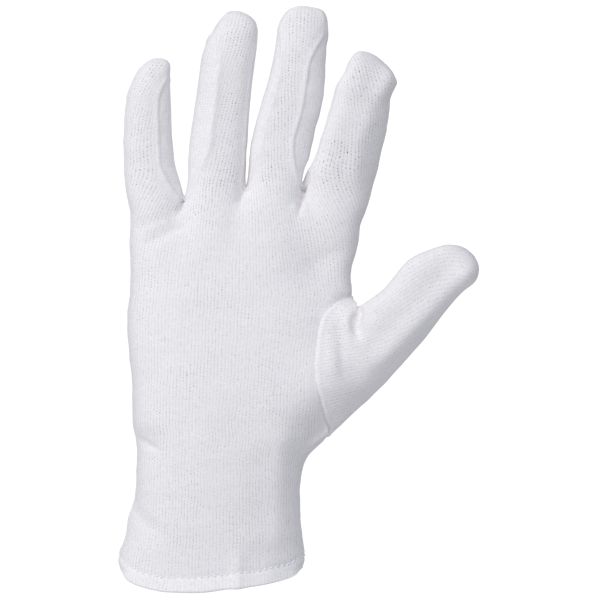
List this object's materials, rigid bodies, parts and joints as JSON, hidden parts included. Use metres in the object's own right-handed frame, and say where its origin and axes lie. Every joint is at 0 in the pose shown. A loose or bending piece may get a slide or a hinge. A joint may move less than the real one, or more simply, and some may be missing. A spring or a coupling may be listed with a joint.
{
  "type": "knitted cotton work glove",
  "caption": "Hollow knitted cotton glove for the right hand, held open as worn, with side strips between the fingers, a set-in thumb and a turned hem at the cuff.",
  "frame": {"origin": "middle of the opening at the cuff, where the hand goes in", "axes": "+Z from the cuff to the fingertips, -Y out of the palm, +X to the thumb's side"},
  "size_m": [0.1481, 0.0467, 0.2401],
  "materials": {
    "cotton_knit": "matt white cotton jersey",
    "cotton_hem": "matt white cotton jersey, turned and stitched"
  },
  "bodies": {
    "root": {"palm_panel": "cotton_knit", "back_panel": "cotton_knit", "side_strip_little_ring": "cotton_knit", "side_strip_ring_middle": "cotton_knit", "side_strip_middle_index": "cotton_knit", "thumb_tube": "cotton_knit", "cuff_hem": "cotton_hem"}
  },
  "joints": []
}
